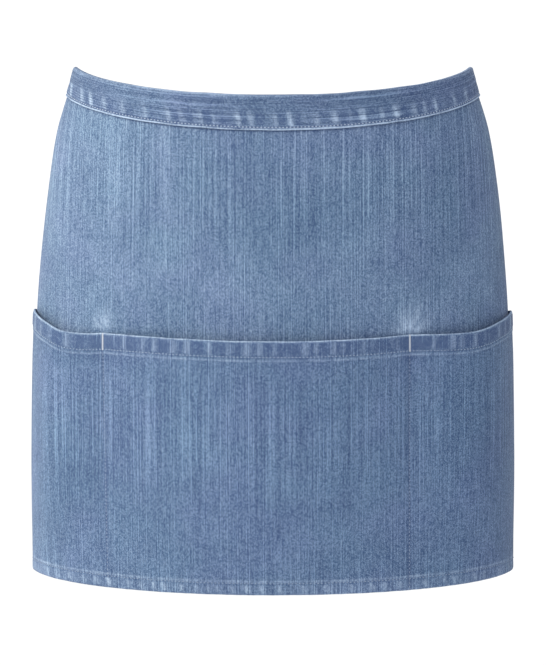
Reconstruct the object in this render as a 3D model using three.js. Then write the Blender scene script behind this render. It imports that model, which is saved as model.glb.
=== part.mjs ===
// A denim waist apron with three pockets, in the shape it has when worn: wrapped round the front and sides of the
// hips, with its ties brought round the back and knotted there. Nothing of the wearer is modelled.
// Millimetres, +Z up. The wearer faces -Y, so the front of the apron is at -Y and the viewer's right is +X.
// The origin is in the middle of the waist opening, level with the top edge of the waistband at the front.

import * as THREE from 'three';

// Cloth
const CLOTH = 1.0; // one layer of washed denim
const TIE_CLOTH = 1.2; // a tie, which is a narrow folded strip
const LAYER_GAP = 0.3; // between layers that lie on each other

// The apron laid flat
const APRON_WIDTH = 600;
const APRON_LENGTH = 390; // top of the waistband to the foot
const WAISTBAND_HEIGHT = 28;
const SEAM_ALLOWANCE = 6; // how far the panel reaches up into the waistband
const SIDE_HEM = 10;
const SIDE_HEM_TURNS = 1.2; // how much the turned cloth thickens the panel's inner face there
const FOOT_HEM = 10.5;
const POCKET_DEPTH = 198; // mouth to foot
const MOUTH_HEM = 14.5;
const MOUTH_HEM_FRONT = 0.3; // how far the mouth hem stands out of the pocket's front face
const MOUTH_HEM_BACK = 0.6; // how much it thickens the pocket's back face
const MIDDLE_POCKET_WIDTH = 245; // between the two rows of stitching that divide the pockets
const HEM_STEP = 1.5; // the width over which a hem's thickness runs out

// How it sits on the wearer
const TURNED = 14.5; // the apron's middle lies this far round to the viewer's left
const HIP_HALF_WIDTH = 188.5;
const HIP_FRONT_DEPTH = 112;
const HIP_BACK_DEPTH = 140; // the free back edges hang straighter than the hips curve
const SIDE_LIFT = 28.8; // how much higher the cloth sits at the sides than at the front and back
const SIDE_ROUNDING = 0.2; // how softly that rise turns over at the sides

// How the pockets stand off the panel
const MIDDLE_GAPE = 8;
const SIDE_GAPE = 8;
const MOUTH_SAG = 6; // how far a side pocket's mouth hangs down at most

// The ties
const KNOT_WIDTH = 26;
const KNOT_HEIGHT = 24;
const KNOT_DEPTH = 16;
const TIE_END_LENGTH = 235;
const TIE_END_LEAN = 7; // degrees that each hanging end leans out
const TIE_END_TURN = 30; // degrees that it turns about its length
const TIE_END_SWAY = 3; // how far it bends out of its plane
const GATHERED_WIDTH = 11; // a tie's width where it enters the knot
const GATHERED_CLOTH = 3.2; // and its thickness there
const GATHER_LENGTH = 45; // over which it narrows

// The form that the panel's inner face follows, from the top edge to the foot. level is a share of APRON_LENGTH, and
// the other columns are shares of the sizes that they are named after.
const FORM = [
  { level: 0.0, halfWidth: 0.828, frontDepth: 0.83, backDepth: 0.645, lift: 0.83 },
  { level: 0.072, halfWidth: 0.861, frontDepth: 0.857, backDepth: 0.67, lift: 1.0 },
  { level: 0.135, halfWidth: 0.901, frontDepth: 0.885, backDepth: 0.71, lift: 0.965 },
  { level: 0.21, halfWidth: 0.929, frontDepth: 0.915, backDepth: 0.76, lift: 0.93 },
  { level: 0.36, halfWidth: 0.966, frontDepth: 0.962, backDepth: 0.85, lift: 0.89 },
  { level: 0.5, halfWidth: 0.988, frontDepth: 0.995, backDepth: 0.93, lift: 0.82 },
  { level: 0.77, halfWidth: 1.002, frontDepth: 1.0, backDepth: 1.0, lift: 0.66 },
  { level: 1.0, halfWidth: 1.001, frontDepth: 0.985, backDepth: 1.0, lift: 0.5 },
];

// How far the pockets stand off the panel across their width. across runs over the middle pocket from left to right,
// and over a side pocket from its divider to the side edge. stand is a share of the gape, and sag of MOUTH_SAG.
const MIDDLE_POCKET = [
  { across: 0.0, stand: 0.0, sag: 0.35 },
  { across: 0.12, stand: 0.5, sag: 0.12 },
  { across: 0.3, stand: 0.92, sag: 0.0 },
  { across: 0.5, stand: 1.0, sag: 0.0 },
  { across: 0.7, stand: 0.92, sag: 0.0 },
  { across: 0.88, stand: 0.5, sag: 0.0 },
  { across: 1.0, stand: 0.0, sag: 0.0 },
];
const LEFT_POCKET = [
  { across: 0.0, stand: 0.0, sag: 0.35 },
  { across: 0.08, stand: 0.42, sag: 0.76 },
  { across: 0.2, stand: 0.96, sag: 0.9 },
  { across: 0.3, stand: 0.98, sag: 0.3 },
  { across: 0.42, stand: 0.48, sag: 0.0 },
  { across: 0.55, stand: 0.1, sag: 0.0 },
  { across: 0.76, stand: 0.08, sag: 0.0 },
  { across: 0.92, stand: 0.06, sag: 0.0 },
  { across: 1.0, stand: 0.0, sag: 0.0 },
];
const RIGHT_POCKET = [
  { across: 0.0, stand: 0.0, sag: 0.0 },
  { across: 0.12, stand: 0.42, sag: 0.36 },
  { across: 0.26, stand: 0.96, sag: 0.74 },
  { across: 0.36, stand: 0.98, sag: 0.72 },
  { across: 0.46, stand: 0.72, sag: 0.45 },
  { across: 0.56, stand: 0.34, sag: 0.36 },
  { across: 0.66, stand: 0.11, sag: 0.3 },
  { across: 0.76, stand: 0.08, sag: 0.2 },
  { across: 0.92, stand: 0.06, sag: 0.05 },
  { across: 1.0, stand: 0.0, sag: 0.0 },
];

// The knot's section along the waist, as shares of KNOT_WIDTH / 2, KNOT_HEIGHT and KNOT_DEPTH
const KNOT = [
  { side: -1.0, height: 0.58, depth: 0.5 },
  { side: -0.82, height: 0.84, depth: 0.82 },
  { side: -0.45, height: 0.97, depth: 1.0 },
  { side: 0.0, height: 1.0, depth: 0.94 },
  { side: 0.45, height: 0.97, depth: 1.0 },
  { side: 0.82, height: 0.84, depth: 0.82 },
  { side: 1.0, height: 0.58, depth: 0.5 },
];

// Facets
const RING_STEPS = 180; // to measure along half a ring
const KNOT_SIDES = 12;
const TIE_STEPS = 9;
const TIE_END_STEPS = 12;

// Lengths that follow from the sizes above
const LEFT_EDGE = -APRON_WIDTH / 2 - TURNED;
const RIGHT_EDGE = APRON_WIDTH / 2 - TURNED;
const LEFT_DIVIDER = -MIDDLE_POCKET_WIDTH / 2 - TURNED;
const RIGHT_DIVIDER = MIDDLE_POCKET_WIDTH / 2 - TURNED;
const MOUTH = APRON_LENGTH - POCKET_DEPTH;
const PANEL_TOP = WAISTBAND_HEIGHT - SEAM_ALLOWANCE;
const PANEL_FOOT = APRON_LENGTH - CLOTH - LAYER_GAP;
const FOOT_HEM_TOP = APRON_LENGTH - FOOT_HEM;
const BAND_CAVITY = Math.max(CLOTH, TIE_CLOTH) + 2 * LAYER_GAP;
const TIE_WIDTH = WAISTBAND_HEIGHT - CLOTH - SEAM_ALLOWANCE - 2 * LAYER_GAP;
const TIE_LEVEL = CLOTH + LAYER_GAP + TIE_WIDTH / 2; // the tie's middle, below the band's top edge

// The value of a table's column at a place, on a smooth curve through its rows
function along(table, key, column, at) {
  let i = 1;
  while (i < table.length - 1 && at > table[i][key]) i += 1;
  const slope = (j) => {
    const a = table[Math.max(j - 1, 0)];
    const b = table[Math.min(j + 1, table.length - 1)];
    return (b[column] - a[column]) / (b[key] - a[key]);
  };
  const [a, b] = [table[i - 1], table[i]];
  const span = b[key] - a[key];
  const t = THREE.MathUtils.clamp((at - a[key]) / span, 0, 1);
  return (
    a[column] * (1 + 2 * t) * (1 - t) ** 2 +
    b[column] * t * t * (3 - 2 * t) +
    slope(i - 1) * span * t * (1 - t) ** 2 -
    slope(i) * span * t * t * (1 - t)
  );
}

// The form's ring at a distance below the top edge, with the arc length from the front centre at even steps of angle
const rings = new Map();
function ringAt(down) {
  const key = down.toFixed(4);
  if (rings.has(key)) return rings.get(key);
  const level = down / APRON_LENGTH;
  const ring = {
    halfWidth: HIP_HALF_WIDTH * along(FORM, 'level', 'halfWidth', level),
    frontDepth: HIP_FRONT_DEPTH * along(FORM, 'level', 'frontDepth', level),
    backDepth: HIP_BACK_DEPTH * along(FORM, 'level', 'backDepth', level),
    lift: SIDE_LIFT * along(FORM, 'level', 'lift', level),
    arcs: [0],
  };
  for (let i = 1; i <= RING_STEPS; i += 1) {
    const a = ringPoint(ring, (Math.PI * (i - 1)) / RING_STEPS);
    const b = ringPoint(ring, (Math.PI * i) / RING_STEPS);
    ring.arcs.push(ring.arcs[i - 1] + a.distanceTo(b));
  }
  rings.set(key, ring);
  return ring;
}

// A ring's depth at an angle, which is 0 at the front and 180 degrees at the back
function depthAt(ring, angle) {
  return Math.abs(angle) < Math.PI / 2 ? ring.frontDepth : ring.backDepth;
}

function ringPoint(ring, angle) {
  return new THREE.Vector2(ring.halfWidth * Math.sin(angle), -depthAt(ring, angle) * Math.cos(angle));
}

function angleAt(ring, across) {
  const length = Math.abs(across);
  let i = 1;
  while (i < RING_STEPS && ring.arcs[i] < length) i += 1;
  const step = (length - ring.arcs[i - 1]) / (ring.arcs[i] - ring.arcs[i - 1]);
  return (Math.sign(across) * Math.PI * (i - 1 + step)) / RING_STEPS;
}

// 1 at the front and back and 0 at the sides, where the cloth sits highest
function settled(angle) {
  const height = (cosine) => Math.hypot(cosine, SIDE_ROUNDING) - SIDE_ROUNDING;
  return height(Math.cos(angle)) / height(1);
}

// A point of the worn apron: across from the front centre along the cloth, down from the top edge, and out from the
// form
function worn(across, down, out) {
  const ring = ringAt(down);
  const angle = angleAt(ring, across);
  const point = ringPoint(ring, angle);
  const normal = new THREE.Vector2(
    depthAt(ring, angle) * Math.sin(angle),
    -ring.halfWidth * Math.cos(angle),
  ).normalize();
  return new THREE.Vector3(
    point.x + out * normal.x,
    point.y + out * normal.y,
    -down + ring.lift * (1 - settled(angle)),
  );
}

// How a pocket stands off and sags at a place across the apron
function pocketAt(across) {
  const from = (table, gape, share) => ({
    stand: gape * along(table, 'across', 'stand', share),
    sag: MOUTH_SAG * along(table, 'across', 'sag', share),
  });
  if (across <= LEFT_DIVIDER) {
    return from(LEFT_POCKET, SIDE_GAPE, (LEFT_DIVIDER - across) / (LEFT_DIVIDER - LEFT_EDGE));
  }
  if (across >= RIGHT_DIVIDER) {
    return from(RIGHT_POCKET, SIDE_GAPE, (across - RIGHT_DIVIDER) / (RIGHT_EDGE - RIGHT_DIVIDER));
  }
  return from(MIDDLE_POCKET, MIDDLE_GAPE, (across - LEFT_DIVIDER) / MIDDLE_POCKET_WIDTH);
}

// A closed solid from a wall's two faces. Each column holds the wall's stations as pairs of points, [front, back].
function wallSolid(columns) {
  const stations = columns[0].length;
  const positions = columns.flat(2).flatMap((point) => point.toArray());
  const index = [];
  const front = (i, j) => 2 * (i * stations + j);
  const back = (i, j) => front(i, j) + 1;
  const quad = (a, b, c, d) => index.push(a, b, c, a, c, d);
  const [lastColumn, lastStation] = [columns.length - 1, stations - 1];
  for (let i = 0; i < lastColumn; i += 1) {
    for (let j = 0; j < lastStation; j += 1) {
      quad(front(i, j), front(i, j + 1), front(i + 1, j + 1), front(i + 1, j));
      quad(back(i, j), back(i + 1, j), back(i + 1, j + 1), back(i, j + 1));
    }
    quad(front(i, 0), front(i + 1, 0), back(i + 1, 0), back(i, 0));
    quad(front(i, lastStation), back(i, lastStation), back(i + 1, lastStation), front(i + 1, lastStation));
  }
  for (let j = 0; j < lastStation; j += 1) {
    quad(front(0, j), back(0, j), back(0, j + 1), front(0, j + 1));
    quad(front(lastColumn, j), front(lastColumn, j + 1), back(lastColumn, j + 1), back(lastColumn, j));
  }
  const geometry = new THREE.BufferGeometry();
  geometry.setAttribute('position', new THREE.Float32BufferAttribute(positions, 3));
  geometry.setIndex(index);
  geometry.computeVertexNormals();
  return geometry;
}

// Places between two ends, evenly spaced, with both ends
function spaced(from, to, steps) {
  return Array.from({ length: steps + 1 }, (_, i) => THREE.MathUtils.lerp(from, to, i / steps));
}

// The places across the apron where the cloth's columns run. Every layer shares them, so its facets lie parallel.
const COLUMNS = [
  LEFT_EDGE,
  LEFT_EDGE + SIDE_HEM,
  ...spaced(LEFT_EDGE + SIDE_HEM + HEM_STEP, LEFT_DIVIDER, 12),
  ...spaced(LEFT_DIVIDER, RIGHT_DIVIDER, 12).slice(1),
  ...spaced(RIGHT_DIVIDER, RIGHT_EDGE - SIDE_HEM - HEM_STEP, 12).slice(1),
  RIGHT_EDGE - SIDE_HEM,
  RIGHT_EDGE,
];

// The skirt, one sheet with turned side hems
function apronPanel() {
  const rows = [
    PANEL_TOP,
    WAISTBAND_HEIGHT,
    ...spaced(WAISTBAND_HEIGHT + HEM_STEP, MOUTH, 5),
    ...spaced(MOUTH, FOOT_HEM_TOP - LAYER_GAP - HEM_STEP, 5).slice(1),
    FOOT_HEM_TOP - LAYER_GAP,
    PANEL_FOOT,
  ];
  const hemmed = (across, down) =>
    (across <= LEFT_EDGE + SIDE_HEM || across >= RIGHT_EDGE - SIDE_HEM) &&
    down > WAISTBAND_HEIGHT &&
    down < FOOT_HEM_TOP - LAYER_GAP;
  return wallSolid(
    COLUMNS.map((across) =>
      rows.map((down) => [
        worn(across, down, CLOTH),
        worn(across, down, hemmed(across, down) ? -SIDE_HEM_TURNS : 0),
      ]),
    ),
  );
}

// A folded strip over the panel's top edge, open at its foot and its ends
function waistband() {
  const middle = CLOTH / 2;
  const [inner, outer] = [BAND_CAVITY / 2, BAND_CAVITY / 2 + CLOTH];
  return wallSolid(
    COLUMNS.map((across) => {
      const at = (down, out) => worn(across, down, middle + out);
      return [
        [at(WAISTBAND_HEIGHT, -outer), at(WAISTBAND_HEIGHT, -inner)],
        [at(PANEL_TOP, -outer), at(PANEL_TOP, -inner)],
        [at(CLOTH, -outer), at(CLOTH, -inner)],
        [at(0, -inner), at(CLOTH, -inner / 2)],
        [at(0, inner), at(CLOTH, inner / 2)],
        [at(CLOTH, outer), at(CLOTH, inner)],
        [at(PANEL_TOP, outer), at(PANEL_TOP, inner)],
        [at(WAISTBAND_HEIGHT, outer), at(WAISTBAND_HEIGHT, inner)],
      ];
    }),
  );
}

// A sheet over the panel's lower half, held at the sides, the dividers and the foot, where it turns up behind the
// panel
function pocketPanel() {
  const rows = spaced(MOUTH, FOOT_HEM_TOP - LAYER_GAP - HEM_STEP, 5).slice(1);
  const seat = CLOTH + LAYER_GAP;
  return wallSolid(
    COLUMNS.map((across) => {
      const { stand, sag } = pocketAt(across);
      const open = (down) => {
        const share = (down - MOUTH) / POCKET_DEPTH;
        return seat + stand * (1 - share ** 3);
      };
      const hem = (down) => [
        worn(across, down + sag, open(down) + MOUTH_HEM_BACK + CLOTH + MOUTH_HEM_FRONT),
        worn(across, down + sag, open(down)),
      ];
      const sheet = (down) => {
        const back = open(down) + MOUTH_HEM_BACK * Math.max(0, 1 - (down - MOUTH) / (POCKET_DEPTH / 2));
        return [worn(across, down, back + CLOTH), worn(across, down, back)];
      };
      return [
        hem(MOUTH),
        hem(MOUTH + MOUTH_HEM),
        sheet(MOUTH + MOUTH_HEM + HEM_STEP + sag),
        ...rows.map(sheet),
        [worn(across, FOOT_HEM_TOP, seat + CLOTH), worn(across, FOOT_HEM_TOP, seat)],
        [worn(across, PANEL_FOOT, seat + CLOTH), worn(across, PANEL_FOOT + LAYER_GAP, seat)],
        [worn(across, APRON_LENGTH, CLOTH / 2), worn(across, PANEL_FOOT + LAYER_GAP, CLOTH / 2)],
        [worn(across, PANEL_FOOT, -LAYER_GAP - CLOTH), worn(across, PANEL_FOOT + LAYER_GAP, -LAYER_GAP)],
        [worn(across, FOOT_HEM_TOP, -LAYER_GAP - CLOTH), worn(across, FOOT_HEM_TOP, -LAYER_GAP)],
      ];
    }),
  );
}

// The middle of the knot, which lies on the form at the centre of the back
const TIE_RING = ringAt(TIE_LEVEL);
const HALF_WAIST = TIE_RING.arcs[RING_STEPS];
const KNOT_CENTRE = new THREE.Vector3(0, TIE_RING.backDepth + CLOTH / 2, -TIE_LEVEL);

// A tie from inside the waistband's end round the back to the knot. side is -1 for the viewer's left and 1 for the
// right.
function tie(side) {
  const edge = side < 0 ? -LEFT_EDGE : RIGHT_EDGE;
  const end = HALF_WAIST - KNOT_WIDTH / 2 - LAYER_GAP;
  const places = [edge - SIDE_HEM, ...spaced(edge, end, TIE_STEPS)];
  const at = (place, down, out) => {
    const share = THREE.MathUtils.clamp((place - edge) / (end - edge), 0, 1);
    const reach = place + share * (ringAt(TIE_LEVEL + down).arcs[RING_STEPS] - HALF_WAIST);
    return worn(side * reach, TIE_LEVEL + down, CLOTH / 2 + out);
  };
  return wallSolid(
    places.map((place) => {
      const gathered = THREE.MathUtils.smoothstep(place, end - Math.min(GATHER_LENGTH, (end - edge) / 2), end);
      const halfWidth = THREE.MathUtils.lerp(TIE_WIDTH, GATHERED_WIDTH, gathered) / 2;
      const halfCloth = THREE.MathUtils.lerp(TIE_CLOTH, GATHERED_CLOTH, gathered) / 2;
      const rim = [-halfWidth, halfWidth].map((down) => [at(place, down, halfCloth), at(place, down, -halfCloth)]);
      return side < 0 ? rim.reverse() : rim;
    }),
  );
}

// The knot, a rounded bundle with flat ends that the ties enter
function tieKnot() {
  const corner = (angle) => [Math.cos(angle), Math.sin(angle)].map((v) => Math.sign(v) * Math.sqrt(Math.abs(v)));
  const rings = KNOT.map(({ side, height, depth }) =>
    Array.from({ length: KNOT_SIDES }, (_, i) => {
      const [y, z] = corner((2 * Math.PI * (i + 0.5)) / KNOT_SIDES);
      return new THREE.Vector3(
        (side * KNOT_WIDTH) / 2,
        (y * depth * KNOT_DEPTH) / 2,
        (z * height * KNOT_HEIGHT) / 2,
      ).add(KNOT_CENTRE);
    }),
  );
  const index = [];
  const at = (ring, i) => ring * KNOT_SIDES + (i % KNOT_SIDES);
  for (let ring = 0; ring < KNOT.length - 1; ring += 1) {
    for (let i = 0; i < KNOT_SIDES; i += 1) {
      index.push(at(ring, i), at(ring, i + 1), at(ring + 1, i + 1));
      index.push(at(ring, i), at(ring + 1, i + 1), at(ring + 1, i));
    }
  }
  const last = KNOT.length - 1;
  for (let i = 1; i < KNOT_SIDES - 1; i += 1) {
    index.push(at(0, 0), at(0, i + 1), at(0, i));
    index.push(at(last, 0), at(last, i), at(last, i + 1));
  }
  const geometry = new THREE.BufferGeometry().setFromPoints(rings.flat());
  geometry.setIndex(index);
  geometry.computeVertexNormals();
  return geometry;
}

// A tie's free end, hanging below the knot and turning a little as it falls
function tieEnd(side) {
  const lean = THREE.MathUtils.degToRad(TIE_END_LEAN) * side;
  const top = new THREE.Vector3(
    side * (GATHERED_WIDTH / 2 + LAYER_GAP),
    0,
    -KNOT_HEIGHT / 2 - LAYER_GAP,
  ).add(KNOT_CENTRE);
  return wallSolid(
    spaced(0, 1, TIE_END_STEPS).map((share) => {
      const spread = THREE.MathUtils.smoothstep(share * TIE_END_LENGTH, 0, GATHER_LENGTH);
      const halfWidth = THREE.MathUtils.lerp(GATHERED_WIDTH, TIE_WIDTH, spread) / 2;
      const halfCloth = THREE.MathUtils.lerp(GATHERED_CLOTH, TIE_CLOTH, spread) / 2;
      const turn = side * THREE.MathUtils.degToRad(TIE_END_TURN) * Math.sin(Math.PI * share);
      const middle = new THREE.Vector3(
        Math.sin(lean) * share * TIE_END_LENGTH,
        TIE_END_SWAY * Math.sin(1.5 * Math.PI * share),
        -Math.cos(lean) * share * TIE_END_LENGTH,
      ).add(top);
      const width = new THREE.Vector3(Math.cos(turn), Math.sin(turn), 0);
      const thickness = new THREE.Vector3(-Math.sin(turn), Math.cos(turn), 0);
      const at = (w, t) => middle.clone().addScaledVector(width, w).addScaledVector(thickness, t);
      return [-halfWidth, halfWidth].map((w) => [at(w, halfCloth), at(w, -halfCloth)]);
    }),
  );
}

// Materials: the outside of the cloth, and the ties' slightly darker folded strips
const denim = new THREE.MeshStandardMaterial({ color: 0x6a88b4, roughness: 0.92, metalness: 0 });
const bandDenim = new THREE.MeshStandardMaterial({ color: 0x5f7cab, roughness: 0.92, metalness: 0 });

function piece(name, geometry, material) {
  const mesh = new THREE.Mesh(geometry, material);
  mesh.name = name;
  return mesh;
}

const apron = new THREE.Group();
apron.add(
  piece('apron_panel', apronPanel(), denim),
  piece('waistband', waistband(), bandDenim),
  piece('pocket_panel', pocketPanel(), denim),
  piece('tie_left', tie(-1), bandDenim),
  piece('tie_right', tie(1), bandDenim),
  piece('tie_knot', tieKnot(), bandDenim),
  piece('tie_end_left', tieEnd(-1), bandDenim),
  piece('tie_end_right', tieEnd(1), bandDenim),
);

export default apron;
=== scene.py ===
# A light-blue washed denim waist apron in its worn shape, with a pocket panel over its lower half and its ties
# knotted behind. The cloth is built in millimetres from the same sizes as the part, and turned to metres at the end.

import math

import bpy
import numpy as np
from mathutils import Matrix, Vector


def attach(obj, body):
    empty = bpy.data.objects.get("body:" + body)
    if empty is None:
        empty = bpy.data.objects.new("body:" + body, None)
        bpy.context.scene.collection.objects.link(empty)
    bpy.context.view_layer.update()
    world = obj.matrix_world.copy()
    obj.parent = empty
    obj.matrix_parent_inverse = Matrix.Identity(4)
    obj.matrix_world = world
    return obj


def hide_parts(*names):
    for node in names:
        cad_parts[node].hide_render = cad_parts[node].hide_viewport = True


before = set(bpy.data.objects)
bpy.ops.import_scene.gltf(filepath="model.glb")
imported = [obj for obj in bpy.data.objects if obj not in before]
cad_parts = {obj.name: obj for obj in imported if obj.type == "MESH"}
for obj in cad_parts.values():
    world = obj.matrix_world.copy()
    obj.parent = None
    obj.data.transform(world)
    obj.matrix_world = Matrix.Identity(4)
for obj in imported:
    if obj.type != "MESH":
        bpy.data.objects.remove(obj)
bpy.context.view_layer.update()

MM = 0.001

# Cloth
CLOTH = 1.0
TIE_CLOTH = 1.2
LAYER_GAP = 0.3

# The apron laid flat
APRON_WIDTH = 600
APRON_LENGTH = 390
WAISTBAND_HEIGHT = 28
SEAM_ALLOWANCE = 6
SIDE_HEM = 10
SIDE_HEM_TURNS = 1.2
FOOT_HEM = 10.5
POCKET_DEPTH = 198
MOUTH_HEM = 14.5
MOUTH_HEM_FRONT = 0.3
MOUTH_HEM_BACK = 0.6
MIDDLE_POCKET_WIDTH = 245

# How it sits on the wearer
TURNED = 14.5
HIP_HALF_WIDTH = 188.5
HIP_FRONT_DEPTH = 112
HIP_BACK_DEPTH = 140
SIDE_LIFT = 28.8
SIDE_ROUNDING = 0.2

# How the pockets stand off the panel
MIDDLE_GAPE = 8
SIDE_GAPE = 8
MOUTH_SAG = 6

# The ties
KNOT_WIDTH = 26
KNOT_HEIGHT = 24
TIE_END_LENGTH = 235
TIE_END_LEAN = 7
TIE_END_TURN = 30
TIE_END_SWAY = 3
GATHERED_WIDTH = 11
GATHERED_CLOTH = 3.2
GATHER_LENGTH = 45

# Stitching
STITCH_PITCH = 2.85
STITCH_LENGTH = 2.1
SUNK_STITCH_LENGTH = 1.6
THREAD_RADIUS = 0.27
BAND_STITCH_LINE = 2.3
MOUTH_STITCH_LINE = 12.6
FOOT_STITCH_LINE = 9.3
SIDE_STITCH_LINE = 8.4
EDGE_STITCH_LINE = 1.8
BAR_TACK_WIDTH = 1.9
BAR_TACK_TURN = 0.55
TACK_THREAD_RADIUS = 0.3
TACK_TILT = 78

# The left row of dividing stitches ends this much nearer the middle at the foot
LEFT_DIVIDER_LEAN = 4.6

# The camera's place: the photograph shows 0.795 mm in each of its pixels at the middle of the apron
CAMERA_DISTANCE = 5.0
CAMERA_ELEVATION = 1.0
CAMERA_TARGET = -187.2
PIXEL = 0.795
LONG_SIDE = 665
SENSOR = 36

# How far the inside's cloth map lies beside the outside's
BACK_ASIDE = 1300

FORM = [
    # level, half width, front depth, back depth, lift
    (0.0, 0.828, 0.83, 0.645, 0.83),
    (0.072, 0.861, 0.857, 0.67, 1.0),
    (0.135, 0.901, 0.885, 0.71, 0.965),
    (0.21, 0.929, 0.915, 0.76, 0.93),
    (0.36, 0.966, 0.962, 0.85, 0.89),
    (0.5, 0.988, 0.995, 0.93, 0.82),
    (0.77, 1.002, 1.0, 1.0, 0.66),
    (1.0, 1.001, 0.985, 1.0, 0.5),
]
MIDDLE_POCKET = [
    # across, stand, sag
    (0.0, 0.0, 0.35),
    (0.12, 0.5, 0.12),
    (0.3, 0.92, 0.0),
    (0.5, 1.0, 0.0),
    (0.7, 0.92, 0.0),
    (0.88, 0.5, 0.0),
    (1.0, 0.0, 0.0),
]
LEFT_POCKET = [
    (0.0, 0.0, 0.35),
    (0.08, 0.42, 0.76),
    (0.2, 0.96, 0.9),
    (0.3, 0.98, 0.3),
    (0.42, 0.48, 0.0),
    (0.55, 0.1, 0.0),
    (0.76, 0.08, 0.0),
    (0.92, 0.06, 0.0),
    (1.0, 0.0, 0.0),
]
RIGHT_POCKET = [
    (0.0, 0.0, 0.0),
    (0.12, 0.42, 0.36),
    (0.26, 0.96, 0.74),
    (0.36, 0.98, 0.72),
    (0.46, 0.72, 0.45),
    (0.56, 0.34, 0.36),
    (0.66, 0.11, 0.3),
    (0.76, 0.08, 0.2),
    (0.92, 0.06, 0.05),
    (1.0, 0.0, 0.0),
]

LEFT_EDGE = -APRON_WIDTH / 2 - TURNED
RIGHT_EDGE = APRON_WIDTH / 2 - TURNED
LEFT_DIVIDER = -MIDDLE_POCKET_WIDTH / 2 - TURNED
RIGHT_DIVIDER = MIDDLE_POCKET_WIDTH / 2 - TURNED
MOUTH = APRON_LENGTH - POCKET_DEPTH
PANEL_TOP = WAISTBAND_HEIGHT - SEAM_ALLOWANCE
PANEL_FOOT = APRON_LENGTH - CLOTH - LAYER_GAP
FOOT_HEM_TOP = APRON_LENGTH - FOOT_HEM
BAND_CAVITY = max(CLOTH, TIE_CLOTH) + 2 * LAYER_GAP
TIE_WIDTH = WAISTBAND_HEIGHT - CLOTH - SEAM_ALLOWANCE - 2 * LAYER_GAP
TIE_LEVEL = CLOTH + LAYER_GAP + TIE_WIDTH / 2
SEAT = CLOTH + LAYER_GAP


# Curves and noise


def along(table, column, at):
    """A table's column at places along its first column, on a smooth curve through its rows."""
    keys = np.array([row[0] for row in table], float)
    values = np.array([row[column] for row in table], float)
    last = len(keys) - 1
    before = np.maximum(np.arange(last + 1) - 1, 0)
    after = np.minimum(np.arange(last + 1) + 1, last)
    slopes = (values[after] - values[before]) / (keys[after] - keys[before])
    at = np.asarray(at, float)
    i = np.clip(np.searchsorted(keys, at, side="left"), 1, last)
    span = keys[i] - keys[i - 1]
    t = np.clip((at - keys[i - 1]) / span, 0, 1)
    return (
        values[i - 1] * (1 + 2 * t) * (1 - t) ** 2
        + values[i] * t * t * (3 - 2 * t)
        + slopes[i - 1] * span * t * (1 - t) ** 2
        - slopes[i] * span * t * t * (1 - t)
    )


def smoothstep(x, low, high):
    t = np.clip((x - low) / (high - low), 0, 1)
    return t * t * (3 - 2 * t)


def hump(x, middle, width):
    return np.exp(-(((x - middle) / width) ** 2))


LATTICE = 128
LATTICES = np.random.default_rng(20).uniform(-1, 1, (24, LATTICE, LATTICE))


def noise(seed, x, y=0.0):
    """Smooth noise from -1 to 1 with features about one unit across."""
    x, y = np.broadcast_arrays(np.asarray(x, float) + 40, np.asarray(y, float) + 40)
    i, j = np.floor(x).astype(int), np.floor(y).astype(int)
    fx, fy = x - i, y - j
    fx, fy = fx * fx * (3 - 2 * fx), fy * fy * (3 - 2 * fy)
    table = LATTICES[seed]

    def corner(di, dj):
        return table[(i + di) % LATTICE, (j + dj) % LATTICE]

    low = corner(0, 0) * (1 - fx) + corner(1, 0) * fx
    high = corner(0, 1) * (1 - fx) + corner(1, 1) * fx
    return low * (1 - fy) + high * fy


# The worn form


def settled(angle):
    """1 at the front and back and 0 at the sides, where the cloth sits highest."""
    return (np.hypot(np.cos(angle), SIDE_ROUNDING) - SIDE_ROUNDING) / (
        math.hypot(1, SIDE_ROUNDING) - SIDE_ROUNDING
    )


RING_STEPS = 720
LEVELS = np.arange(-4.0, APRON_LENGTH + 4.5, 0.5)
RING_ANGLES = np.linspace(0, math.pi, RING_STEPS + 1)


def sizes_at(down):
    level = np.asarray(down, float) / APRON_LENGTH
    return (
        HIP_HALF_WIDTH * along(FORM, 1, level),
        HIP_FRONT_DEPTH * along(FORM, 2, level),
        HIP_BACK_DEPTH * along(FORM, 3, level),
        SIDE_LIFT * along(FORM, 4, level),
    )


def arc_tables():
    half, front, back, _ = sizes_at(LEVELS)
    depth = np.where(RING_ANGLES[None, :] < math.pi / 2, front[:, None], back[:, None])
    x = half[:, None] * np.sin(RING_ANGLES)[None, :]
    y = -depth * np.cos(RING_ANGLES)[None, :]
    steps = np.hypot(np.diff(x, axis=1), np.diff(y, axis=1))
    arcs = np.concatenate([np.zeros((len(LEVELS), 1)), np.cumsum(steps, axis=1)], axis=1)
    places = np.arange(0, 460.5, 1.0)
    angles = np.array([np.interp(places, row, RING_ANGLES) for row in arcs])
    return angles, arcs[:, -1]


ANGLE_TABLE, HALF_RINGS = arc_tables()


def angle_at(across, down):
    """The angle round the form at a length along the cloth from the front centre."""
    a = np.abs(across)
    i = np.clip(np.floor((down - LEVELS[0]) / 0.5).astype(int), 0, len(LEVELS) - 2)
    j = np.clip(np.floor(a).astype(int), 0, ANGLE_TABLE.shape[1] - 2)
    ti = np.clip((down - LEVELS[i]) / 0.5, 0, 1)
    tj = a - j
    low = ANGLE_TABLE[i, j] * (1 - tj) + ANGLE_TABLE[i, j + 1] * tj
    high = ANGLE_TABLE[i + 1, j] * (1 - tj) + ANGLE_TABLE[i + 1, j + 1] * tj
    return np.sign(across) * (low * (1 - ti) + high * ti)


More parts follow.
